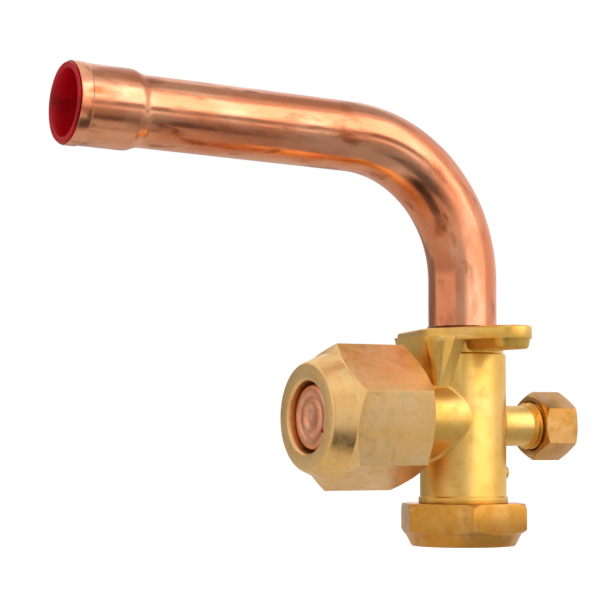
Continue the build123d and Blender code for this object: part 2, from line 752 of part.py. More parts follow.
pieces = {
    "valve_body": valve_body,
    "elbow_tube": elbow_tube,
    "braze_ring": braze_ring,
    "tube_plug": tube_plug,
    "flare_nut": flare_nut,
    "sealing_bonnet": sealing_bonnet,
    "valve_stem": valve_stem,
    **o_rings,
    "stem_retaining_ring": stem_retaining_ring,
    "stem_cap": stem_cap,
    "stem_cap_gasket": stem_cap_gasket,
    "service_cap": service_cap,
    "service_cap_gasket": service_cap_gasket,
    "core_plug": core_plug,
    "core_barrel": core_barrel,
    "core_seal": core_seal,
    "core_pin": core_pin,
    "core_poppet": core_poppet,
    "poppet_seal": poppet_seal,
    "spring_seat": spring_seat,
    "core_spring": core_spring,
}

os.makedirs("parts", exist_ok=True)
for name, piece in pieces.items():
    piece.part.label = name
    export_step(piece.part, f"parts/{name}.step")
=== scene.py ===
"""Dressed model of a refrigerant service valve with its brazed copper elbow.

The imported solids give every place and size. The forged body starts from its solid. The
turned, screwed and bent pieces that show are modelled again with their threads, broken
edges and walls. The hidden pieces keep their solids. Sizes here are in millimetres.
"""

import json
import logging
from collections.abc import Sequence
from dataclasses import dataclass, field, replace
from enum import Enum
from math import atan2, ceil, cos, hypot, pi, radians, sin, sqrt, tan

import bpy
from mathutils import Matrix, Vector

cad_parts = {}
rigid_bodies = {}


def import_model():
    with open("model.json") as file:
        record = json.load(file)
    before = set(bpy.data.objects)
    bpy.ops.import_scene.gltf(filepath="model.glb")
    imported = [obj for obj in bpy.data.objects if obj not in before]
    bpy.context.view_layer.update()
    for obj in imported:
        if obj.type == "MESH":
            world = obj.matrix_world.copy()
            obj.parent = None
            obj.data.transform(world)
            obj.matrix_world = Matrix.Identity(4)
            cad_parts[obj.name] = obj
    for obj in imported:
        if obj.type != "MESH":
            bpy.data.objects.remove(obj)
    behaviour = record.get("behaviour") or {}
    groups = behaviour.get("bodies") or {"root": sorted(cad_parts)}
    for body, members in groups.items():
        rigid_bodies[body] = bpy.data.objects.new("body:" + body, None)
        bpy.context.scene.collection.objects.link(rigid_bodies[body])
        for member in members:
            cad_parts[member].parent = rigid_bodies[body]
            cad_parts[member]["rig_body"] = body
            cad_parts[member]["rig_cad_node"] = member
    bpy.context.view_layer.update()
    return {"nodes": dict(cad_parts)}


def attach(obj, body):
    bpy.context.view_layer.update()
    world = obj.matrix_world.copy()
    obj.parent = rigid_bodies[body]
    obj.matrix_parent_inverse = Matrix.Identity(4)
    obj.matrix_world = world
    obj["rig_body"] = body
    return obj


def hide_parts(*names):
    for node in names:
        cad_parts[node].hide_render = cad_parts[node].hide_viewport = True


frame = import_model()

MM = 0.001
WAVE_PERIOD = 2 * pi / 20  # length of one band of a Wave Texture at scale 1

logging.basicConfig(level=logging.INFO, format="%(message)s")
log = logging.getLogger("service_valve")

Outline = Sequence[tuple[float, float]]
Thing = bpy.types.Object
Socket = bpy.types.NodeSocket


# ---- the modelling bench


class Bore(Enum):
    """Whether a turned outline is a solid bar or a ring with a hole right through."""

    SOLID = "NGON"
    THROUGH = "NOTHING"


class Cut(Enum):
    """What one mesh does to another."""

    REMOVE = "DIFFERENCE"
    KEEP_COMMON = "INTERSECT"


@dataclass(frozen=True)
class Seat:
    """The place of a piece: its own Z is the axis that it is turned or screwed about."""

    origin: tuple[float, float, float]
    x_axis: tuple[float, float, float]
    z_axis: tuple[float, float, float]

    def matrix(self) -> Matrix:
        """Returns the matrix from the piece's own frame to the part's frame."""
        along, across = Vector(self.z_axis).normalized(), Vector(self.x_axis).normalized()
        turn = Matrix((across, along.cross(across), along)).transposed().to_4x4()
        return Matrix.Translation(Vector(self.origin) * MM) @ turn


FLARE_SEAT = Seat((0, 0, -20.6), (0, -1, 0), (-1, 0, 0))
SERVICE_SEAT = Seat((0, 0, -22.3), (0, 1, 0), (1, 0, 0))
STEM_SEAT = Seat((0, 0, 0), (1, 0, 0), (0, 0, 1))


def pick(*pieces: Thing) -> None:
    """Selects these objects alone and makes the first one active."""
    if bpy.context.mode != "OBJECT":
        bpy.ops.object.mode_set(mode="OBJECT")
    bpy.ops.object.select_all(action="DESELECT")
    for piece in pieces:
        piece.select_set(True)
    bpy.context.view_layer.objects.active = pieces[0]


def edit(piece: Thing) -> None:
    """Opens a piece in edit mode with all of it selected."""
    pick(piece)
    bpy.ops.object.mode_set(mode="EDIT")
    bpy.ops.mesh.select_all(action="SELECT")


def close_edit() -> None:
    """Merges the doubles, turns every face outwards and leaves edit mode."""
    bpy.ops.mesh.select_all(action="SELECT")
    bpy.ops.mesh.remove_doubles(threshold=1e-6)
    bpy.ops.mesh.normals_make_consistent(inside=False)
    bpy.ops.object.mode_set(mode="OBJECT")


def turned(
    name: str, outline: Outline, bore: Bore = Bore.SOLID, sides: int = 144
) -> Thing:
    """Turns a piece about its own Z, as on a lathe, station by station.

    Args:
        name: The new object's name.
        outline: Distance along the axis and radius of each station, in millimetres. A
            ring's outline ends where it began.
        bore: A solid bar, or a ring with a hole right through.
        sides: The facets round the axis.

    Returns:
        The turned object, closed, in its own frame.
    """
    start, radius = outline[0]
    bpy.ops.mesh.primitive_circle_add(vertices=sides, radius=radius * MM, fill_type=bore.value)
    piece = bpy.context.object
    piece.name = name
    edit(piece)
    bpy.ops.transform.translate(value=(0, 0, start * MM))
    for (here, size), (there, next_size) in zip(outline, outline[1:]):
        bpy.ops.mesh.extrude_region_move(
            TRANSFORM_OT_translate={"value": (0, 0, (there - here) * MM)}
        )
        ratio = next_size / size
        bpy.ops.transform.resize(value=(ratio, ratio, 1), center_override=(0, 0, there * MM))
    close_edit()
    return piece


def applied(piece: Thing, modifier: bpy.types.Modifier) -> None:
    """Makes what a modifier does to a piece its own shape."""
    pick(piece)
    bpy.ops.object.modifier_apply(modifier=modifier.name)


def shaped_by(piece: Thing, tool: Thing, cut: Cut) -> None:
    """Cuts a piece with a second mesh, which is used up."""
    modifier = piece.modifiers.new("cut", "BOOLEAN")
    modifier.object = tool
    modifier.operation = cut.value
    modifier.solver = "EXACT"
    applied(piece, modifier)
    bpy.data.objects.remove(tool, do_unlink=True)


def break_edges(piece: Thing, width: float, over: float, segments: int = 2) -> None:
    """Rounds the sharp edges of a piece.

    Args:
        piece: The object.
        width: Width of the broken edge, in millimetres.
        over: Edges that turn more than this many degrees are broken.
        segments: Facets across the rounding.
    """
    edit(piece)
    bpy.ops.mesh.dissolve_limited(angle_limit=radians(0.4))
    bpy.ops.object.mode_set(mode="OBJECT")
    modifier = piece.modifiers.new("edges", "BEVEL")
    modifier.width = width * MM
    modifier.segments = segments
    modifier.limit_method = "ANGLE"
    modifier.angle_limit = radians(over)
    modifier.miter_outer = "MITER_ARC"
    applied(piece, modifier)


def join(piece: Thing, *others: Thing) -> None:
    """Makes several meshes one object."""
    pick(piece, *others)
    bpy.ops.object.join()


def smooth(piece: Thing, under: float) -> None:
    """Shades a piece smooth across edges that turn less than this many degrees."""
    pick(piece)
    bpy.ops.object.shade_smooth_by_angle(angle=radians(under))


def place(piece: Thing, seat: Seat) -> None:
    """Moves a piece from its own frame into the part's, and keeps its place in its mesh."""
    piece.matrix_world = seat.matrix()
    pick(piece)
    bpy.ops.object.transform_apply(location=True, rotation=True, scale=True)


def hand_over(
    piece: Thing, body: str, slot: str, finish: bpy.types.Material, *nodes: str
) -> None:
    """Gives a finished piece its material, its body and the solids that it stands for.

    Args:
        piece: The finished object, at the origin.
        body: The body that it moves with.
        slot: The record's material slot. Not used.
        finish: Its material.
        *nodes: The solids that it replaces.
    """
    piece.data.materials.clear()
    piece.data.materials.append(finish)
    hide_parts(*nodes)
    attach(piece, body)
    log.info("%s: %d faces, on %s", piece.name, len(piece.data.polygons), body)


def repaint(node: str, finish: bpy.types.Material) -> None:
    """Gives a solid that keeps its shape a better material."""
    for material_slot in frame["nodes"][node].material_slots:
        material_slot.material = finish
    log.info("%s: finish %s", node, finish.name)


@dataclass(frozen=True)
class Thread:
    """A right-handed screw thread of 60 degree form, cut as one helical ridge."""

    pitch: float
    major: float
    minor: float
    start: float
    turns: float
    internal: bool = False
    steps: int = 48

    def half_width(self, radius: float) -> float:
        """Returns half the ridge's width along the axis at a radius, in millimetres."""
        male = self.pitch / 16 + (self.major - radius) * tan(radians(30))
        if self.internal:
            running_clearance = 0.09
            return self.pitch / 2 - male - running_clearance
        return male

    def ridge(self) -> Thing:
        """Winds the ridge about its own Z, from its start towards +Z.

        Returns:
            The closed ridge, in its own frame, with its foot sunk a little in its wall.
        """
        sunk = 0.12
        crest, foot = self.major, self.minor - sunk
        if self.internal:
            bore_over_minor, wall_over_major = 0.27, 0.1
            crest, foot = self.minor + bore_over_minor, self.major + wall_over_major + sunk
        bpy.ops.mesh.primitive_plane_add(
            size=2 * MM,
            location=((crest + foot) / 2 * MM, 0, self.start * MM),
            rotation=(radians(90), 0, 0),
        )
        piece = bpy.context.object
        piece.name = "ridge"
        piece.scale = (abs(crest - foot) / 2, self.half_width(foot), 1)
        bpy.ops.object.transform_apply(location=False, rotation=True, scale=True)
        bpy.ops.object.transform_apply(location=True)
        bpy.ops.object.mode_set(mode="EDIT")
        bpy.ops.mesh.select_mode(type="VERT")
        bpy.ops.mesh.select_all(action="DESELECT")
        bpy.ops.object.mode_set(mode="OBJECT")
        for vertex in piece.data.vertices:
            vertex.select = abs(vertex.co.x - crest * MM) < 0.01 * MM
        bpy.ops.object.mode_set(mode="EDIT")
        narrowing = self.half_width(crest) / self.half_width(foot)
        bpy.ops.transform.resize(
            value=(1, 1, narrowing), center_override=(crest * MM, 0, self.start * MM)
        )
        bpy.ops.mesh.select_all(action="SELECT")
        bpy.ops.mesh.delete(type="ONLY_FACE")
        bpy.ops.object.mode_set(mode="OBJECT")
        modifier = piece.modifiers.new("winding", "SCREW")
        modifier.axis = "Z"
        modifier.angle = radians(360) * self.turns
        modifier.screw_offset = self.pitch * self.turns * MM
        modifier.steps = modifier.render_steps = ceil(self.steps * self.turns)
        modifier.use_smooth_shade = True
        applied(piece, modifier)
        edit(piece)
        bpy.ops.mesh.fill_holes(sides=4)
        close_edit()
        return piece

    def trimmed(self, blank: Outline) -> Thing:
        """Returns the ridge, in its own frame, cut down to a turned blank."""
        ridge = self.ridge()
        shaped_by(ridge, turned("blank", blank), Cut.KEEP_COMMON)
        return ridge


FLARE_THREAD = Thread(pitch=1.8143, major=11.1125, minor=9.98, start=16.6, turns=7.0)
SERVICE_THREAD = Thread(pitch=1.27, major=5.5, minor=4.72, start=17.0, turns=6.8)
CAP_THREAD = Thread(pitch=1.0, major=9.0, minor=8.39, start=-47.3, turns=7.0)


# ---- finishes


def linear(colour: str) -> tuple[float, float, float, float]:
    """Turns an sRGB hex value such as #d9a35a into linear RGBA."""
    channels = [int(colour[place : place + 2], 16) / 255 for place in (1, 3, 5)]
    red, green, blue = [
        c / 12.92 if c <= 0.04045 else ((c + 0.055) / 1.055) ** 2.4 for c in channels
    ]
    return red, green, blue, 1.0


def add_node(
    tree: bpy.types.NodeTree,
    kind: str,
    inputs: dict[str | int, object] | None = None,
    **settings: object,
) -> bpy.types.Node:
    """Adds one node, with its settings, its values and its links.

    Args:
        tree: The node tree.
        kind: The node's type.
        inputs: A value, or another node's output, for each named or numbered input.
        **settings: The node's own properties.

    Returns:
        The new node.
    """
    node = tree.nodes.new(kind)
    for setting, value in settings.items():
        setattr(node, setting, value)
    for key, value in (inputs or {}).items():
        if isinstance(value, bpy.types.NodeSocket):
            tree.links.new(value, node.inputs[key])
        else:
            node.inputs[key].default_value = value
    return node


def bare_tree(owner: bpy.types.Material | bpy.types.World) -> bpy.types.NodeTree:
    """Returns the node tree of a new material or world, emptied."""
    owner.use_nodes = True
    owner.node_tree.nodes.clear()
    return owner.node_tree


class Shading:
    """A material in the making: its node tree and the few steps that surfaces need."""

    def __init__(self, name: str) -> None:
        """Starts an empty material of this name."""
        self.material = bpy.data.materials.new(name)
        self.tree = bare_tree(self.material)

    def own_place(self) -> Socket:
        """Returns the place of each point in the object's own coordinates."""
        return add_node(self.tree, "ShaderNodeTexCoord").outputs["Object"]

    def mapped(self, spot: Socket, inputs: dict[str, object], kind: str = "POINT") -> Socket:
        """Returns coordinates that are moved, turned or stretched."""
        inputs = {"Vector": spot, **inputs}
        return add_node(self.tree, "ShaderNodeMapping", inputs, vector_type=kind).outputs["Vector"]

    def noise(self, spot: Socket, size: float, detail: float) -> Socket:
        """Returns noise whose features are about this many millimetres across."""
        inputs = {"Vector": spot, "Scale": 1 / (size * MM), "Detail": detail}
        return add_node(self.tree, "ShaderNodeTexNoise", inputs).outputs[0]

    def marks(self, spot: Socket, size: float, kind: str) -> Socket:
        """Returns tool marks, bands along the axis or rings about it, one every size."""
        scale = WAVE_PERIOD / (size * MM)
        inputs = {"Vector": spot, "Scale": scale, "Distortion": 0.6, "Detail": 1.0}
        settings = {"wave_type": kind, "bands_direction": "Z", "rings_direction": "Z"}
        return add_node(self.tree, "ShaderNodeTexWave", inputs, **settings).outputs[1]

    def cells(self, spot: Socket, size: float) -> Socket:
        """Returns the distance to the nearest of many scattered points, from 0 up."""
        inputs = {"Vector": spot, "Scale": 1 / (size * MM)}
        return add_node(self.tree, "ShaderNodeTexVoronoi", inputs).outputs["Distance"]

    def ramp(
        self, value: Socket, low: float, high: float, at_low: float = 0, at_high: float = 1
    ) -> Socket:
        """Returns a value carried smoothly from one range to another."""
        inputs = {"Value": value, "From Min": low, "From Max": high}
        inputs |= {"To Min": at_low, "To Max": at_high}
        kind = "ShaderNodeMapRange"
        return add_node(self.tree, kind, inputs, interpolation_type="SMOOTHSTEP").outputs["Result"]

    def maths(self, operation: str, *values: object) -> Socket:
        """Returns the result of one step of arithmetic."""
        inputs = dict(enumerate(values))
        return add_node(self.tree, "ShaderNodeMath", inputs, operation=operation).outputs[0]

    def blend(self, base: object, over: object, share: object) -> Socket:
        """Returns one colour laid over another by a share from 0 to 1."""
        inputs = {0: share, 6: base, 7: over}
        return add_node(self.tree, "ShaderNodeMix", inputs, data_type="RGBA").outputs[2]

    def finished(
        self, tint: Socket, rough: Socket, height: Socket, surface: dict[str, float]
    ) -> bpy.types.Material:
        """Wires the shader.

        Args:
            tint: The colour.
            rough: The roughness.
            height: The relief, in millimetres.
            surface: The shader's values that hold for the whole surface.

        Returns:
            The finished material.
        """
        inputs = {"Height": height, "Distance": MM, "Strength": 1.0}
        bump = add_node(self.tree, "ShaderNodeBump", inputs).outputs["Normal"]
        inputs = {"Base Color": tint, "Roughness": rough, "Normal": bump, **surface}
        shader = add_node(self.tree, "ShaderNodeBsdfPrincipled", inputs)
        add_node(self.tree, "ShaderNodeOutputMaterial", {"Surface": shader.outputs["BSDF"]})
        return self.material


class Axis(Enum):
    """Which way a lathe or a die leaves its marks: the turn that brings Z onto the axis."""

    ALONG_Z = (0.0, 0.0, 0.0)
    ALONG_X = (0.0, pi / 2, 0.0)


@dataclass(frozen=True)
class Metal:
    """A worked metal: its colours, its clouds of tarnish, its grain and its tool marks."""

    name: str
    colour: str
    bright: str
    tarnish: str
    roughness: tuple[float, float]
    centre: tuple[float, float, float] = (0.0, 0.0, 0.0)
    axis: Axis = Axis.ALONG_Z
    cloud: float = 9.0
    tarnished: float = 0.35
    grain: float = 0.7
    grain_depth: float = 0.004
    mark: float = 0.5
    mark_depth: float = 0.0015
    pits: float = 0.0
    drawn: float = 0.0

    def make(self) -> bpy.types.Material:
        """Returns the material."""
        paint = Shading(self.name)
        seat = {"Location": [c * MM for c in self.centre], "Rotation": self.axis.value}
        spot = paint.mapped(paint.own_place(), seat, "TEXTURE")
        clouds = paint.noise(spot, self.cloud, 3.0)
        blotches = paint.noise(spot, self.cloud * 0.27, 5.0)
        grain = paint.noise(spot, self.grain, 2.0)
        shine = paint.ramp(clouds, 0.38, 0.66)
        tint = paint.blend(linear(self.colour), linear(self.bright), shine)
        dulled = paint.ramp(blotches, 0.5, 0.78, 0, self.tarnished)
        tint = paint.blend(tint, linear(self.tarnish), dulled)
        height = paint.maths("MULTIPLY", grain, self.grain_depth)
        if self.mark_depth:
            for kind in ("BANDS", "RINGS"):
                marks = paint.marks(spot, self.mark, kind)
                height = paint.maths("MULTIPLY_ADD", marks, self.mark_depth, height)
        if self.drawn:
            die_lines = paint.noise(paint.mapped(spot, {"Scale": (1.0, 1.0, 0.03)}), 0.45, 2.0)
            height = paint.maths("MULTIPLY_ADD", die_lines, self.drawn, height)
        if self.pits:
            cells = paint.cells(spot, 2.6)
            height = paint.maths("MULTIPLY_ADD", paint.ramp(cells, 0.06, 0.2), self.pits, height)
            clean = paint.ramp(cells, 0.03, 0.12, 0.45, 1)
            tint = paint.blend(linear(self.tarnish), tint, clean)
        rough = paint.ramp(blotches, 0.3, 0.7, *self.roughness)
        return paint.finished(tint, rough, height, {"Metallic": 1.0})


@dataclass(frozen=True)
class DrawnCopper(Metal):
    """Copper tube, drawn and annealed: streaks follow the tube round its bend."""

    def make(self) -> bpy.types.Material:
        """Returns the material, which reads the tube's own unrolled coordinates."""
        paint = Shading(self.name)
        kind = "ShaderNodeAttribute"
        spot = add_node(paint.tree, kind, attribute_name="unrolled").outputs["Vector"]
        streaked = paint.mapped(spot, {"Scale": (0.16, 1.0, 1.0)})
        handled = paint.mapped(spot, {"Scale": (0.42, 1.0, 1.0)})
        streaks = paint.noise(streaked, 2.4, 4.0)
        clouds = paint.noise(handled, self.cloud, 4.0)
        stains = paint.noise(handled, self.cloud * 0.42, 5.0)
        grain = paint.noise(streaked, self.grain, 3.0)
        rubbed = paint.ramp(clouds, 0.42, 0.66)
        tint = paint.blend(linear(self.colour), linear(self.bright), rubbed)
        dulled = paint.ramp(stains, 0.52, 0.7, 0, self.tarnished)
        dulled = paint.maths("MULTIPLY", dulled, paint.ramp(streaks, 0.35, 0.62, 0.35, 1))
        tint = paint.blend(tint, linear(self.tarnish), dulled)
        rough = paint.ramp(stains, 0.35, 0.7, *self.roughness)
        height = paint.maths("MULTIPLY", grain, self.grain_depth)
        height = paint.maths("MULTIPLY_ADD", clouds, self.grain_depth * 9, height)
        return paint.finished(tint, rough, height, {"Metallic": 1.0})


@dataclass(frozen=True)
class Polymer:
    """A moulded plastic or rubber: its colour, a little shading and its surface."""

    name: str
    colour: str
    shade: str
    roughness: tuple[float, float]
    grain: float = 0.5
    grain_depth: float = 0.002
    gloss: float = 0.5

    def make(self) -> bpy.types.Material:
        """Returns the material."""
        paint = Shading(self.name)
        spot = paint.own_place()
        shaded = paint.ramp(paint.noise(spot, 6.0, 3.0), 0.4, 0.7)
        tint = paint.blend(linear(self.colour), linear(self.shade), shaded)
        grain = paint.noise(spot, self.grain, 2.0)
        rough = paint.ramp(grain, 0.3, 0.7, *self.roughness)
        height = paint.maths("MULTIPLY", grain, self.grain_depth)
        surface = {"IOR": 1.5, "Specular IOR Level": self.gloss}
        return paint.finished(tint, rough, height, surface)


# Hot-forged brass, brightened by tumbling and then turned where it is round. It gives a
# soft yellow-gold sheen with faint rings round the barrel.
FORGED_BRASS = Metal(
    name="forged_turned_brass", colour="#e9b85c", bright="#eec274", tarnish="#c08a34",
    roughness=(0.34, 0.44), cloud=11.0, tarnished=0.3, mark=0.9, mark_depth=0.0012,
)

# Forged nut brass, left matt from shot blasting. It gives a sandy, pale, even glow with
# small dents and pinkish clouds.
BLASTED_BRASS = Metal(
    name="shot_blasted_brass", colour="#f2c27c", bright="#f3ca90", tarnish="#cd9d5a",
    roughness=(0.32, 0.44), centre=FLARE_SEAT.origin, axis=Axis.ALONG_X, cloud=7.0,
    tarnished=0.4, grain=0.9, grain_depth=0.012, mark_depth=0.0, pits=0.01,
)

# Free-cutting brass from drawn hexagon bar. It gives a deeper ochre, with die lines along
# the flats and turned chamfers.
STEM_CAP_BRASS = Metal(
    name="drawn_hexagon_brass", colour="#d2933f", bright="#dfa65c", tarnish="#a46c2a",
    roughness=(0.28, 0.38), cloud=7.0, tarnished=0.4, mark=0.6, mark_depth=0.001, drawn=0.004,
)

# The same bar stock in a small size, cleaned in acid, which leaves a pink bloom of copper.
SERVICE_CAP_BRASS = Metal(
    name="pickled_hexagon_brass", colour="#c48b41", bright="#d09f66", tarnish="#a66c2a",
    roughness=(0.22, 0.32), centre=SERVICE_SEAT.origin, axis=Axis.ALONG_X, cloud=5.0,
    tarnished=0.3, mark=0.5, mark_depth=0.001, drawn=0.003,
)

# Annealed copper tube, drawn, bent and handled. It gives a salmon sheen with long streaks,
# brown stains and pale rubbed patches.
TUBE_COPPER = DrawnCopper(
    name="drawn_annealed_copper", colour="#dc8760", bright="#e9a580", tarnish="#984b24",
    roughness=(0.16, 0.3), cloud=8.0, tarnished=0.78, grain=0.5, grain_depth=0.0022,
)

# Soft copper sheet, pressed to a cup. It gives a dull pink disc with the rings of the punch.
PRESSED_COPPER = Metal(
    name="pressed_soft_copper", colour="#ea9b73", bright="#f2b28e", tarnish="#a95a38",
    roughness=(0.3, 0.45), centre=FLARE_SEAT.origin, axis=Axis.ALONG_X, cloud=3.5,
    tarnished=0.45, grain=0.6, grain_depth=0.02, mark=1.9, mark_depth=0.03,
)

# Brazing filler, coloured dark brown with near-black blotches over most of it. It gives a dark,
# rough line round the tube.
BRAZE = Metal(
    name="silver_braze_filler", colour="#63381a", bright="#8f5f31", tarnish="#2a1408",
    roughness=(0.4, 0.6), cloud=3.0, tarnished=0.9, grain=0.8, grain_depth=0.05, mark_depth=0.0,
)

# Turned brass of the hidden stem and valve core, straight from the lathe.
TURNED_BRASS = Metal(
    name="turned_free_cutting_brass", colour="#d6a253", bright="#e2b468", tarnish="#ad7c36",
    roughness=(0.18, 0.28), cloud=3.0, tarnished=0.2, grain=0.3, mark=0.3, mark_depth=0.002,
)

# Hard-drawn stainless spring wire and the stamped spring-steel clip.
SPRING_STEEL = Metal(
    name="stainless_spring_steel", colour="#b9b6ae", bright="#cac8c2", tarnish="#86837c",
    roughness=(0.2, 0.32), cloud=2.0, tarnished=0.3, grain=0.3, mark_depth=0.0,
)

# Injection-moulded soft polyethylene, red through and through, with a dull waxy skin.
RED_PLASTIC = Polymer("moulded_red_polyethylene", "#c80519", "#a00414", (0.3, 0.42), gloss=0.2)

# Chlorobutyl rubber of the O-rings, the poppet's seal and the service cap's gasket.
BLACK_RUBBER = Polymer("moulded_black_rubber", "#1d1c1b", "#272523", (0.45, 0.6))

# White fluoropolymer, skived for the stem cap's gasket and turned for the core's seal.
WHITE_PLASTIC = Polymer("skived_white_fluoropolymer", "#e6e4dd", "#d8d5cb", (0.35, 0.5))


# ---- the valve's pieces


@dataclass
class ForgedBody:
    """The brass body with its three male threads, its clip and the braze at its top."""

    edge: float = 0.16
    forged_edge: float = 0.7
    ear_spacing: float = 38.0
    ear_hole_r: float = 3.3
    bar_bottom: float = -5.2

    def build(self) -> None:
        """Builds and dresses the body, the braze and the clip."""
        self._body()
        self._braze()
        repaint("stem_retaining_ring", SPRING_STEEL.make())

    def _body(self) -> None:
        """Breaks the forging's edges, then turns each spigot down and threads it."""
        body = self._forging()
        self._round_forging(body)
        break_edges(body, self.edge, over=32)
        flare_blank = [(16.7, 9.7), (17.8, 11.11), (28.6, 11.11), (29.3, 10.4), (29.9, 9.8)]
        service_blank = [(16.9, 4.75), (17.6, 5.5), (25.3, 5.5), (25.9, 4.9), (26.0, 4.6)]
        cap_blank = [(-47.2, 8.2), (-46.4, 9.0), (-40.9, 9.0), (-40.2, 8.3)]
        ridges = []
        for seat, thread, blank, (start, end, clear_of) in (
            (FLARE_SEAT, FLARE_THREAD, flare_blank, (16.4, 30.6, 12.6)),
            (SERVICE_SEAT, SERVICE_THREAD, service_blank, (16.6, 26.5, 6.4)),
            (STEM_SEAT, CAP_THREAD, cap_blank, (-47.8, -40.4, 9.9)),
        ):
            root = thread.minor
            relief = [(start, root), (start, clear_of), (end, clear_of), (end, root), (start, root)]
            tool = turned("relief", relief, Bore.THROUGH)
            place(tool, seat)
            shaped_by(body, tool, Cut.REMOVE)
            ridge = thread.trimmed(blank)
            place(ridge, seat)
            ridges.append(ridge)
        join(body, *ridges)
        smooth(body, 31)
        hand_over(body, "valve", "body_brass", FORGED_BRASS.make(), "valve_body")

    def _forging(self) -> Thing:
        """Returns a copy of the solid body as one closed mesh."""
        solid = frame["nodes"]["valve_body"]
        body = solid.copy()
        body.data = solid.data.copy()
        body.parent = None
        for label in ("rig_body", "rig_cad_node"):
            del body[label]
        body.name = "brass_body"
        bpy.context.scene.collection.objects.link(body)
        pick(body)
        bpy.ops.mesh.customdata_custom_splitnormals_clear()
        edit(body)
        bpy.ops.mesh.remove_doubles(threshold=2e-6)
        return body

    def _round_forging(self, body: Thing) -> None:
        """Gives the flange's top and the bar under its ears the large radii of a forging.

        Args:
            body: The body, open in edit mode.
        """
        bpy.ops.mesh.dissolve_limited(angle_limit=radians(0.4))
        bpy.ops.mesh.select_mode(type="EDGE")
        bpy.ops.mesh.select_all(action="DESELECT")
        bpy.ops.mesh.edges_select_sharp(sharpness=radians(40))
        bpy.ops.object.mode_set(mode="OBJECT")
        points = body.data.vertices
        clear_of_socket, clear_of_barrel = 9.0, 10.4
        rims = []
        for edge in body.data.edges:
            middle = (points[edge.vertices[0]].co + points[edge.vertices[1]].co) / (2 * MM)
            from_axis = hypot(middle.x, middle.y)
            in_hole = hypot(middle.x, abs(middle.y) - self.ear_spacing / 2) < self.ear_hole_r
            top_rim = middle.z > -0.05 and from_axis > clear_of_socket
            bar_rim = abs(middle.z - self.bar_bottom) < 0.1 and from_axis > clear_of_barrel
            if edge.select and not in_hole and (top_rim or bar_rim):
                rims.append(edge)
        for parts in (points, body.data.edges, body.data.polygons):
            parts.foreach_set("select", [False] * len(parts))
        for edge in rims:
            edge.select = True
        bpy.ops.object.mode_set(mode="EDIT")
        bpy.ops.mesh.bevel(offset=self.forged_edge * MM, segments=4, affect="EDGES")
        bpy.ops.mesh.select_mode(type="VERT")
        bpy.ops.object.mode_set(mode="OBJECT")

    def _braze(self) -> None:
        """Makes the bead of filler between the tube and the flange, a little uneven."""
        bead = turned(
            "braze_bead",
            [
                (-0.85, 7.98), (0.02, 8.86), (0.1, 8.7), (0.2, 8.42), (0.38, 8.18), (0.6, 8.02),
                (0.62, 7.95), (-0.85, 7.95), (-0.85, 7.98),
            ],
            Bore.THROUGH,
        )
        texture = bpy.data.textures.new("braze_flow", "CLOUDS")
        texture.noise_scale = 2.2 * MM
        modifier = bead.modifiers.new("flow", "DISPLACE")
        modifier.texture = texture
        modifier.direction = "Z"
        modifier.strength = 0.25 * MM
        modifier.mid_level = 0.5
        applied(bead, modifier)
        smooth(bead, 50)
        hand_over(bead, "valve", "braze_alloy", BRAZE.make(), "braze_ring")


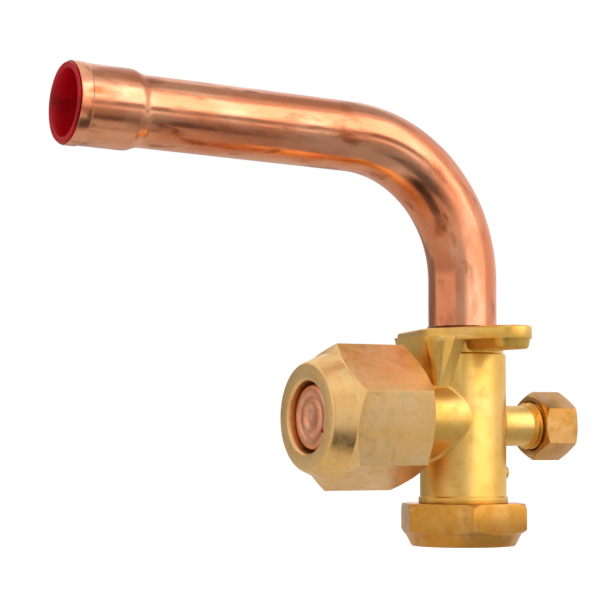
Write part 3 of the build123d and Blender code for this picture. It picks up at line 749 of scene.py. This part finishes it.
@dataclass
class CopperElbow:
    """The bent tube with its widened, belled end, and the plug that keeps it clean."""

    outer: float = 7.94
    bore: float = 6.94
    foot: float = -9.0
    bend_radius: float = 32.0
    leg_height: float = 42.1
    rise: float = 2.2
    yaw: float = 1.6
    reach: float = 99.2
    sides: int = 120
    widened: float = 17.1
    widening: Outline = (
        (0.0, 7.94), (0.7, 8.02), (1.8, 8.42), (2.9, 8.82), (3.6, 8.9), (14.0, 8.9),
        (14.25, 8.95), (14.5, 9.1), (16.85, 9.1), (17.05, 9.03), (17.1, 8.85),
    )
    widened_bore: Outline = (
        (17.1, 8.45), (17.0, 8.25), (16.5, 8.0), (14.0, 8.0), (3.6, 8.0), (2.9, 7.9),
        (1.8, 7.45), (0.7, 7.02), (0.0, 6.94),
    )

    def __post_init__(self) -> None:
        """Works out where the bend begins and which way the leg runs."""
        self.turn = radians(90 - self.rise)
        self.tangent = self.bend_radius * tan(self.turn / 2)
        self.bend_start = self.leg_height - self.tangent
        yaw, rise = radians(self.yaw), radians(self.rise)
        self.outward = Vector((-cos(yaw), sin(yaw), 0.0))
        self.sideways = self.outward.cross(Vector((0, 0, 1)))
        self.leg = self.outward * cos(rise) + Vector((0, 0, sin(rise)))
        cut_back = 0.1
        self.widening_start = self.reach - self.widened - cut_back

    def leg_point(self, distance: float) -> Vector:
        """Returns the point on the leg's axis at a distance from the crossing, in metres."""
        return (Vector((0, 0, self.leg_height)) + self.leg * distance) * MM

    def plug_seat(self) -> Seat:
        """Returns the seat at the start of the widening, with Z along the leg."""
        origin = self.leg_point(self.widening_start) / MM
        return Seat(tuple(origin), tuple(self.sideways), tuple(self.leg))

    def build(self) -> None:
        """Builds and dresses the tube and its plug."""
        self._tube()
        self._plug()

    def _extrude_along(self, start: float, stations: Outline, radius: float) -> float:
        """Carries the selected ring along the leg, station by station.

        Args:
            start: Distance from the crossing of the ring as it is.
            stations: Distance from the start of the widening, and radius.
            radius: The ring's radius as it is.

        Returns:
            The last radius.
        """
        here = start
        for distance, next_radius in stations:
            there = self.widening_start + distance
            move = self.leg * (there - here) * MM
            bpy.ops.mesh.extrude_region_move(TRANSFORM_OT_translate={"value": tuple(move)})
            ratio = next_radius / radius
            centre = tuple(self.leg_point(there))
            bpy.ops.transform.resize(value=(ratio, ratio, ratio), center_override=centre)
            here, radius = there, next_radius
        return radius

    def _tube(self) -> None:
        """Bends the tube from its foot to its open end, and back along its bore."""
        foot = (0, 0, self.foot * MM)
        bpy.ops.mesh.primitive_circle_add(
            vertices=self.sides, radius=self.outer * MM, location=foot, fill_type="NOTHING"
        )
        tube = bpy.context.object
        tube.name = "copper_elbow"
        bpy.ops.object.transform_apply(location=True)
        edit(tube)
        rise = (self.bend_start - self.foot) * MM
        centre = (self.outward * self.bend_radius + Vector((0, 0, self.bend_start))) * MM
        bend = {"steps": 48, "center": tuple(centre), "axis": tuple(self.sideways)}
        bend_end = self.tangent - self.widening_start
        stations = [(bend_end + step, self.outer) for step in (22.0, 44.0)]
        stations += [*self.widening, *self.widened_bore]
        bpy.ops.mesh.extrude_region_move(TRANSFORM_OT_translate={"value": (0, 0, rise)})
        bpy.ops.mesh.spin(angle=self.turn, **bend)
        radius = self._extrude_along(self.tangent, stations, self.outer)
        self._extrude_along(self.widening_start, [(bend_end, self.bore)], radius)
        bpy.ops.mesh.spin(angle=-self.turn, **bend)
        bpy.ops.mesh.extrude_region_move(TRANSFORM_OT_translate={"value": (0, 0, -rise)})
        ratio = self.outer / self.bore
        bpy.ops.mesh.extrude_region_move()
        bpy.ops.transform.resize(value=(ratio, ratio, 1), center_override=foot)
        close_edit()
        self._unroll(tube)
        smooth(tube, 30)
        hand_over(tube, "valve", "tube_copper", TUBE_COPPER.make(), "elbow_tube")

    def _unroll(self, tube: Thing) -> None:
        """Stores each point's distance along the tube and its place across it."""
        values = []
        bend = self.bend_start * MM
        radius = self.bend_radius * MM
        for vertex in tube.data.vertices:
            point = vertex.co
            out, across, up = point.dot(self.outward), point.dot(self.sideways), point.z - bend
            swing = min(max(atan2(up, radius - out), 0.0), self.turn)
            if up < 0:
                values += [up, out, across]
            elif swing < self.turn:
                values += [swing * radius, radius - hypot(radius - out, up), across]
            else:
                travel = (point - self.leg_point(self.tangent)).dot(self.leg)
                below = (self.leg_point(0) + self.leg * point.dot(self.leg) - point).z
                values += [self.turn * radius + travel, below, across]
        attribute = tube.data.attributes.new("unrolled", "FLOAT_VECTOR", "POINT")
        attribute.data.foreach_set("vector", values)

    def _plug(self) -> None:
        """Moulds the hollow plug with its flange and three gripping ribs."""
        end = self.widened
        outline = [(6.8, 4.2), (6.8, 5.6), (7.0, 6.3), (8.8, 7.55)]
        rib = ((-0.45, 7.6), (-0.25, 7.92), (0.25, 7.92), (0.45, 7.6))
        for depth in (5.5, 3.5, 1.5):
            outline += [(end - depth + step, radius) for step, radius in rib]
        outline += [
            (end + 0.06, 7.6), (end + 0.06, 8.62), (end + 0.2, 8.7), (end + 0.48, 8.7),
            (end + 0.6, 8.58), (end + 0.6, 7.95), (end + 0.35, 7.45), (end - 0.6, 7.1),
            (14.2, 6.95), (8.9, 6.6), (8.3, 6.3), (8.2, 5.6), (8.2, 1.2),
        ]
        plug = turned("red_plug", outline, sides=120)
        place(plug, self.plug_seat())
        smooth(plug, 40)
        hand_over(plug, "plug", "plug_plastic", RED_PLASTIC.make(), "tube_plug")


@dataclass(frozen=True)
class Hexagon:
    """How a turned blank gets its hexagon outside and its thread inside."""

    flats: float
    corner: float
    bar: tuple[float, float]
    edge: float
    over: float
    thread: Thread
    thread_bore: Outline
    seat: Seat
    sides: int = 192

    @property
    def corner_r(self) -> float:
        """Returns the radius to the hexagon's corners, in millimetres."""
        return self.flats / sqrt(3)

    def _bar(self) -> Thing:
        """Returns a length of hexagon bar, with one corner at its angle from X."""
        start, end = self.bar
        bpy.ops.mesh.primitive_cylinder_add(
            vertices=6,
            radius=self.corner_r * MM,
            depth=(end - start) * MM,
            location=(0, 0, (start + end) / 2 * MM),
            rotation=(0, 0, radians(self.corner - 90)),
        )
        return bpy.context.object

    def shape(self, name: str, outline: Outline, bore: Bore = Bore.SOLID) -> Thing:
        """Turns a blank, cuts its hexagon, breaks its edges and winds its thread.

        Args:
            name: The new object's name.
            outline: The blank's stations.
            bore: A blank without a hole, or a ring.

        Returns:
            The piece in its place.
        """
        piece = turned(name, outline, bore, self.sides)
        shaped_by(piece, self._bar(), Cut.KEEP_COMMON)
        break_edges(piece, self.edge, self.over, segments=3)
        join(piece, self.thread.trimmed(self.thread_bore))
        place(piece, self.seat)
        smooth(piece, self.over - 1)
        return piece


@dataclass
class FlareNut:
    """The big forged nut and the copper bonnet that it clamps."""

    back: float = 16.8
    front: float = 41.9
    hexagon: Hexagon = Hexagon(
        flats=29.0, corner=80.2, bar=(10, 50), edge=0.28, over=18,
        thread=replace(FLARE_THREAD, start=15.693, turns=8.0, internal=True),
        thread_bore=((17.2, 11.6), (29.2, 11.6)), seat=FLARE_SEAT,
    )

    def build(self) -> None:
        """Builds and dresses the nut and the bonnet."""
        self._nut()
        self._bonnet()

    def _nut(self) -> None:
        """Turns the nut with its seat and bore, and gives it its hexagon and thread."""
        corner_r, half_flats = self.hexagon.corner_r, self.hexagon.flats / 2
        nut = self.hexagon.shape(
            "flare_nut_dressed",
            [
                (self.back, half_flats - 0.3), (self.back + 1.3, corner_r), (35.5, corner_r),
                (36.9, 14.2), (41.2, 12.36), (41.6, 12.12), (41.83, 11.8), (self.front, 11.4),
                (self.front, 8.75), (41.8, 8.45), (41.4, 8.15), (33.01, 8.1), (29.9, 11.21),
                (self.back + 0.8, 11.21), (self.back, 12.0), (self.back, half_flats - 0.3),
            ],
            Bore.THROUGH,
        )
        hand_over(nut, "nut", "nut_brass", BLASTED_BRASS.make(), "flare_nut")

    def _bonnet(self) -> None:
        """Presses the copper cup whose ringed end shows inside the nut."""
        # On a 45 degree cone a station and its radius always add up to the same length.
        port_cone = 29.3 + 10.4
        inner_cone = port_cone + 0.1414
        outer_cone = inner_cone + 0.8 * sqrt(2)
        bonnet = turned(
            "copper_bonnet",
            [
                (40.2, 0.5), (40.28, 1.2), (40.34, 1.9), (40.5, 2.5), (40.72, 2.95),
                (40.75, 3.5), (40.7, 4.0), (40.46, 4.4), (40.42, 4.75), (40.5, 5.1),
                (40.72, 5.5), (40.75, 6.3), (40.64, 6.78), (40.4, 7.12), (40.0, 7.33),
                (39.5, 7.4), (38.6, 7.4), (38.0, 7.25), (outer_cone - 7.25, 7.25),
                (outer_cone - 10.2, 10.2), (inner_cone - 10.2, 10.2), (inner_cone - 6.45, 6.45),
                (39.2, 6.45), (39.35, 6.2), (39.35, 1.0),
            ],
        )
        dent = turned("dent", [(40.0, 0.5), (40.5, 0.5), (41.0, 0.62)], sides=24)
        dent.location = (5.2 * MM, -3.0 * MM, 0)
        pick(dent)
        bpy.ops.object.transform_apply(location=True)
        shaped_by(bonnet, dent, Cut.REMOVE)
        place(bonnet, FLARE_SEAT)
        smooth(bonnet, 30)
        hand_over(bonnet, "bonnet", "bonnet_copper", PRESSED_COPPER.make(), "sealing_bonnet")


@dataclass
class StemCap:
    """The hexagon cap over the stem, and its gasket."""

    top: float = -40.2
    bottom: float = -50.0
    hexagon: Hexagon = Hexagon(
        flats=27.0, corner=4.9, bar=(-55, -35), edge=0.22, over=14,
        thread=replace(CAP_THREAD, start=-46.8, turns=5.5, internal=True),
        thread_bore=((-46.7, 9.4), (-41.1, 9.4)), seat=STEM_SEAT,
    )

    def build(self) -> None:
        """Builds and dresses the cap, and dresses its gasket."""
        corner_r = self.hexagon.corner_r
        cap = self.hexagon.shape(
            "stem_cap_dressed",
            [
                (self.bottom, 11.4), (self.bottom + 0.06, 11.85), (self.bottom + 0.3, 12.1),
                (self.bottom + 2.6, 13.28), (self.bottom + 2.8, 13.4),
                (self.bottom + 4.0, corner_r), (self.top - 1.1, corner_r),
                (self.top, corner_r - 1.0), (self.top, 9.8), (self.top - 0.7, 9.1),
                (-46.95, 9.1), (-47.35, 9.5), (-48.15, 9.5), (-48.15, 3.0),
            ],
        )
        hand_over(cap, "stem_cap", "cap_brass", STEM_CAP_BRASS.make(), "stem_cap")
        repaint("stem_cap_gasket", WHITE_PLASTIC.make())


@dataclass
class ServiceCap:
    """The small hexagon cap over the valve core, and its gasket."""

    back: float = 18.9
    front: float = 28.0
    hexagon: Hexagon = Hexagon(
        flats=14.0, corner=90.0, bar=(10, 35), edge=0.2, over=18,
        thread=replace(SERVICE_THREAD, start=20.175, turns=5.0, internal=True),
        thread_bore=((19.6, 5.9), (26.2, 5.9)), seat=SERVICE_SEAT, sides=144,
    )

    def build(self) -> None:
        """Builds and dresses the cap, and dresses its gasket."""
        corner_r = self.hexagon.corner_r
        cap = self.hexagon.shape(
            "service_cap_dressed",
            [
                (self.front, 6.2), (self.front - 0.05, 6.5), (self.front - 0.18, 6.8),
                (self.front - 0.55, 7.85), (self.front - 0.75, corner_r),
                (self.back + 0.9, corner_r), (self.back + 0.35, 7.35), (self.back, 6.8),
                (self.back, 6.1), (self.back + 0.5, 5.6), (26.65, 5.6), (26.65, 1.5),
            ],
        )
        hand_over(cap, "service_cap", "service_cap_brass", SERVICE_CAP_BRASS.make(), "service_cap")
        repaint("service_cap_gasket", BLACK_RUBBER.make())


@dataclass
class InnerParts:
    """The hidden stem, its O-rings and the valve core, which keep their solids."""

    brass: Sequence[str] = ("valve_stem", "core_plug", "core_barrel", "core_poppet", "spring_seat")
    rubber: Sequence[str] = ("stem_o_ring_inner", "stem_o_ring_outer", "poppet_seal")
    steel: Sequence[str] = ("core_pin", "core_spring")
    plastic: Sequence[str] = ("core_seal",)

    def build(self) -> None:
        """Dresses each hidden piece in its own metal, rubber or plastic."""
        for nodes, finish in (
            (self.brass, TURNED_BRASS), (self.rubber, BLACK_RUBBER), (self.steel, SPRING_STEEL),
            (self.plastic, WHITE_PLASTIC),
        ):
            material = finish.make()
            for node in nodes:
                repaint(node, material)


# ---- studio


def direction(azimuth: float, elevation: float) -> Vector:
    """Returns the unit vector towards a bearing in degrees: from -Y towards +X, then up."""
    turn, lift = radians(azimuth), radians(elevation)
    return Vector((sin(turn) * cos(lift), -cos(turn) * cos(lift), sin(lift)))


@dataclass
class Studio:
    """White surround, pale floor, two soft boxes, and dark flags that draw lines on metal."""

    camera_azimuth: float = -29.54
    camera_elevation: float = -3.81
    camera_distance: float = 503.16
    camera_shift: tuple[float, float] = (-37.77, 6.9)
    lens: float = 129.675
    floor_z: float = -74.0
    fill: float = 0.62
    floor_glow: float = 0.55
    lamp_distance: float = 620.0
    aim: Vector = field(default_factory=lambda: Vector((-25.0, 0.0, 0.0)))

    def build(self) -> None:
        """Sets up the surround, the floor, the lights, the flags and the camera."""
        self._surround()
        self._floor()
        self._soft_box("soft_box", (24.0, 34.0), (640.0, 430.0), 1.8)
        self._soft_box("strip_box", (20.0, 4.0), (760.0, 230.0), 0.7)
        self._flag("upright_flag", 0.56, self._facing(-38.0, 12.0, 470.0), (280.0, 560.0))
        self._flag("edge_flag", 0.3, self._facing(-165.0, 0.0, 500.0), (560.0, 560.0))
        self._flag("table_flag", 0.45, self._lying(130.0, -275.0, 0.1), (290.0, 550.0))
        self._flag("near_flag", 0.14, self._lying(-18.0, -228.0, 0.3), (84.0, 226.0))
        self._flag("nose_flag", 0.05, self._lying(-74.0, -76.0, 0.2), (84.0, 84.0))
        self._flag("top_flag", 0.5, self._facing(105.0, 62.0, 450.0), (260.0, 260.0))
        self._flag("leg_flag", 0.35, self._standing(-15.0, -100.0, 49.0), (110.0, 24.0))
        self._camera()
        bpy.context.scene.view_settings.view_transform = "Standard"

    def _surround(self) -> None:
        """Lights the part evenly, and shows white where the surround itself is seen."""
        world = bpy.data.worlds.new("surround")
        tree = bare_tree(world)
        path = add_node(tree, "ShaderNodeLightPath")
        seen = path.outputs["Is Camera Ray"]
        for ray in ("Is Glossy Ray", "Is Transmission Ray"):
            inputs = {0: seen, 1: path.outputs[ray]}
            seen = add_node(tree, "ShaderNodeMath", inputs, operation="MAXIMUM").outputs[0]
        tones = [
            add_node(tree, "ShaderNodeBackground", {"Color": linear(colour), "Strength": strength})
            for colour, strength in (("#fffdf8", self.fill), ("#ffffff", 1.0))
        ]
        fill, white = (tone.outputs[0] for tone in tones)
        mixed = add_node(tree, "ShaderNodeMixShader", {0: seen, 1: fill, 2: white})
        add_node(tree, "ShaderNodeOutputWorld", {"Surface": mixed.outputs[0]})
        bpy.context.scene.world = world

    def _floor(self) -> None:
        """Lays the pale floor, which keeps the part's shadow and meets the white surround."""
        bpy.ops.mesh.primitive_plane_add(size=60.0, location=(0, 0, self.floor_z * MM))
        floor = bpy.context.object
        floor.name = "floor"
        material = bpy.data.materials.new("pale_floor")
        tree = bare_tree(material)
        paint = add_node(tree, "ShaderNodeBsdfDiffuse", {"Color": linear("#f4f3f0")})
        path = add_node(tree, "ShaderNodeLightPath")
        inputs = {0: path.outputs["Is Camera Ray"], 1: self.floor_glow}
        lift = add_node(tree, "ShaderNodeMath", inputs, operation="MULTIPLY").outputs[0]
        glow = add_node(tree, "ShaderNodeEmission", {"Color": linear("#ffffff"), "Strength": lift})
        both = add_node(tree, "ShaderNodeAddShader", {0: paint.outputs[0], 1: glow.outputs[0]})
        add_node(tree, "ShaderNodeOutputMaterial", {"Surface": both.outputs[0]})
        floor.data.materials.append(material)

    def _facing(self, azimuth: float, elevation: float, distance: float) -> Matrix:
        """Returns the place of a panel that faces the part.

        Args:
            azimuth: The panel's bearing, in degrees.
            elevation: Its height as an angle, in degrees.
            distance: How far it stands from the aim, in millimetres.

        Returns:
            The panel's matrix: its -Z looks at the aim.
        """
        out = direction(azimuth, elevation)
        turn = out.to_track_quat("Z", "Y").to_matrix().to_4x4()
        return Matrix.Translation((self.aim + out * distance) * MM) @ turn

    def _lying(self, x: float, y: float, over: float) -> Matrix:
        """Returns the place of a level panel a little over the floor, in millimetres."""
        return Matrix.Translation(Vector((x, y, self.floor_z + over)) * MM)

    @staticmethod
    def _standing(x: float, y: float, z: float) -> Matrix:
        """Returns the place of an upright panel that faces -Y, in millimetres."""
        upright = Matrix.Rotation(radians(90), 4, "X")
        return Matrix.Translation(Vector((x, y, z)) * MM) @ upright

    def _soft_box(
        self, name: str, bearing: tuple[float, float], size: tuple[float, float], level: float
    ) -> None:
        """Hangs one soft light, which only the part's own surfaces see.

        Args:
            name: The light's name.
            bearing: Its azimuth and elevation, in degrees.
            size: Its width and height, in millimetres.
            level: How bright it looks, where white paper is 1.
        """
        bpy.ops.object.light_add(type="AREA")
        lamp = bpy.context.object
        lamp.name = name
        width, height = size
        lamp.data.shape = "RECTANGLE"
        lamp.data.size, lamp.data.size_y = width * MM, height * MM
        lamp.data.energy = level * pi * width * height * MM * MM
        lamp.data.color = linear("#fffefd")[:3]
        lamp.matrix_world = self._facing(*bearing, self.lamp_distance)
        lamp.visible_camera = False

    def _flag(self, name: str, level: float, stand: Matrix, size: tuple[float, float]) -> None:
        """Stands a dark card where only reflections see it.

        Args:
            name: The card's name.
            level: How bright it looks, where white paper is 1.
            stand: Its place.
            size: Its width and height, in millimetres.
        """
        bpy.ops.mesh.primitive_plane_add(size=1.0)
        card = bpy.context.object
        card.name = name
        card.matrix_world = stand @ Matrix.Diagonal((size[0] * MM, size[1] * MM, 1, 1))
        material = bpy.data.materials.new(name)
        tree = bare_tree(material)
        dull = add_node(tree, "ShaderNodeEmission", {"Color": linear("#ffffff"), "Strength": level})
        add_node(tree, "ShaderNodeOutputMaterial", {"Surface": dull.outputs[0]})
        card.data.materials.append(material)
        card.visible_camera = card.visible_diffuse = False
        card.visible_shadow = card.visible_transmission = False

    def _camera(self) -> None:
        """Stands the camera at the part's usual three-quarter view."""
        back = direction(self.camera_azimuth, self.camera_elevation)
        turn = radians(self.camera_azimuth)
        across, up = self.camera_shift
        target = Vector((cos(turn), sin(turn), 0)) * across + Vector((0, 0, up))
        bpy.ops.object.camera_add()
        camera = bpy.context.object
        camera.name = "view"
        camera.location = (target + back * self.camera_distance) * MM
        camera.rotation_mode = "QUATERNION"
        camera.rotation_quaternion = (-back).to_track_quat("-Z", "Y")
        camera.data.lens = self.lens
        camera.data.sensor_width = 36.0
        camera.data.clip_start, camera.data.clip_end = 0.01, 100.0
        bpy.context.scene.camera = camera


def main() -> None:
    """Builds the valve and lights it."""
    for assembly in (ForgedBody, CopperElbow, FlareNut, StemCap, ServiceCap, InnerParts, Studio):
        log.info("building %s", assembly.__name__)
        assembly().build()


if __name__ == "__main__":
    main()
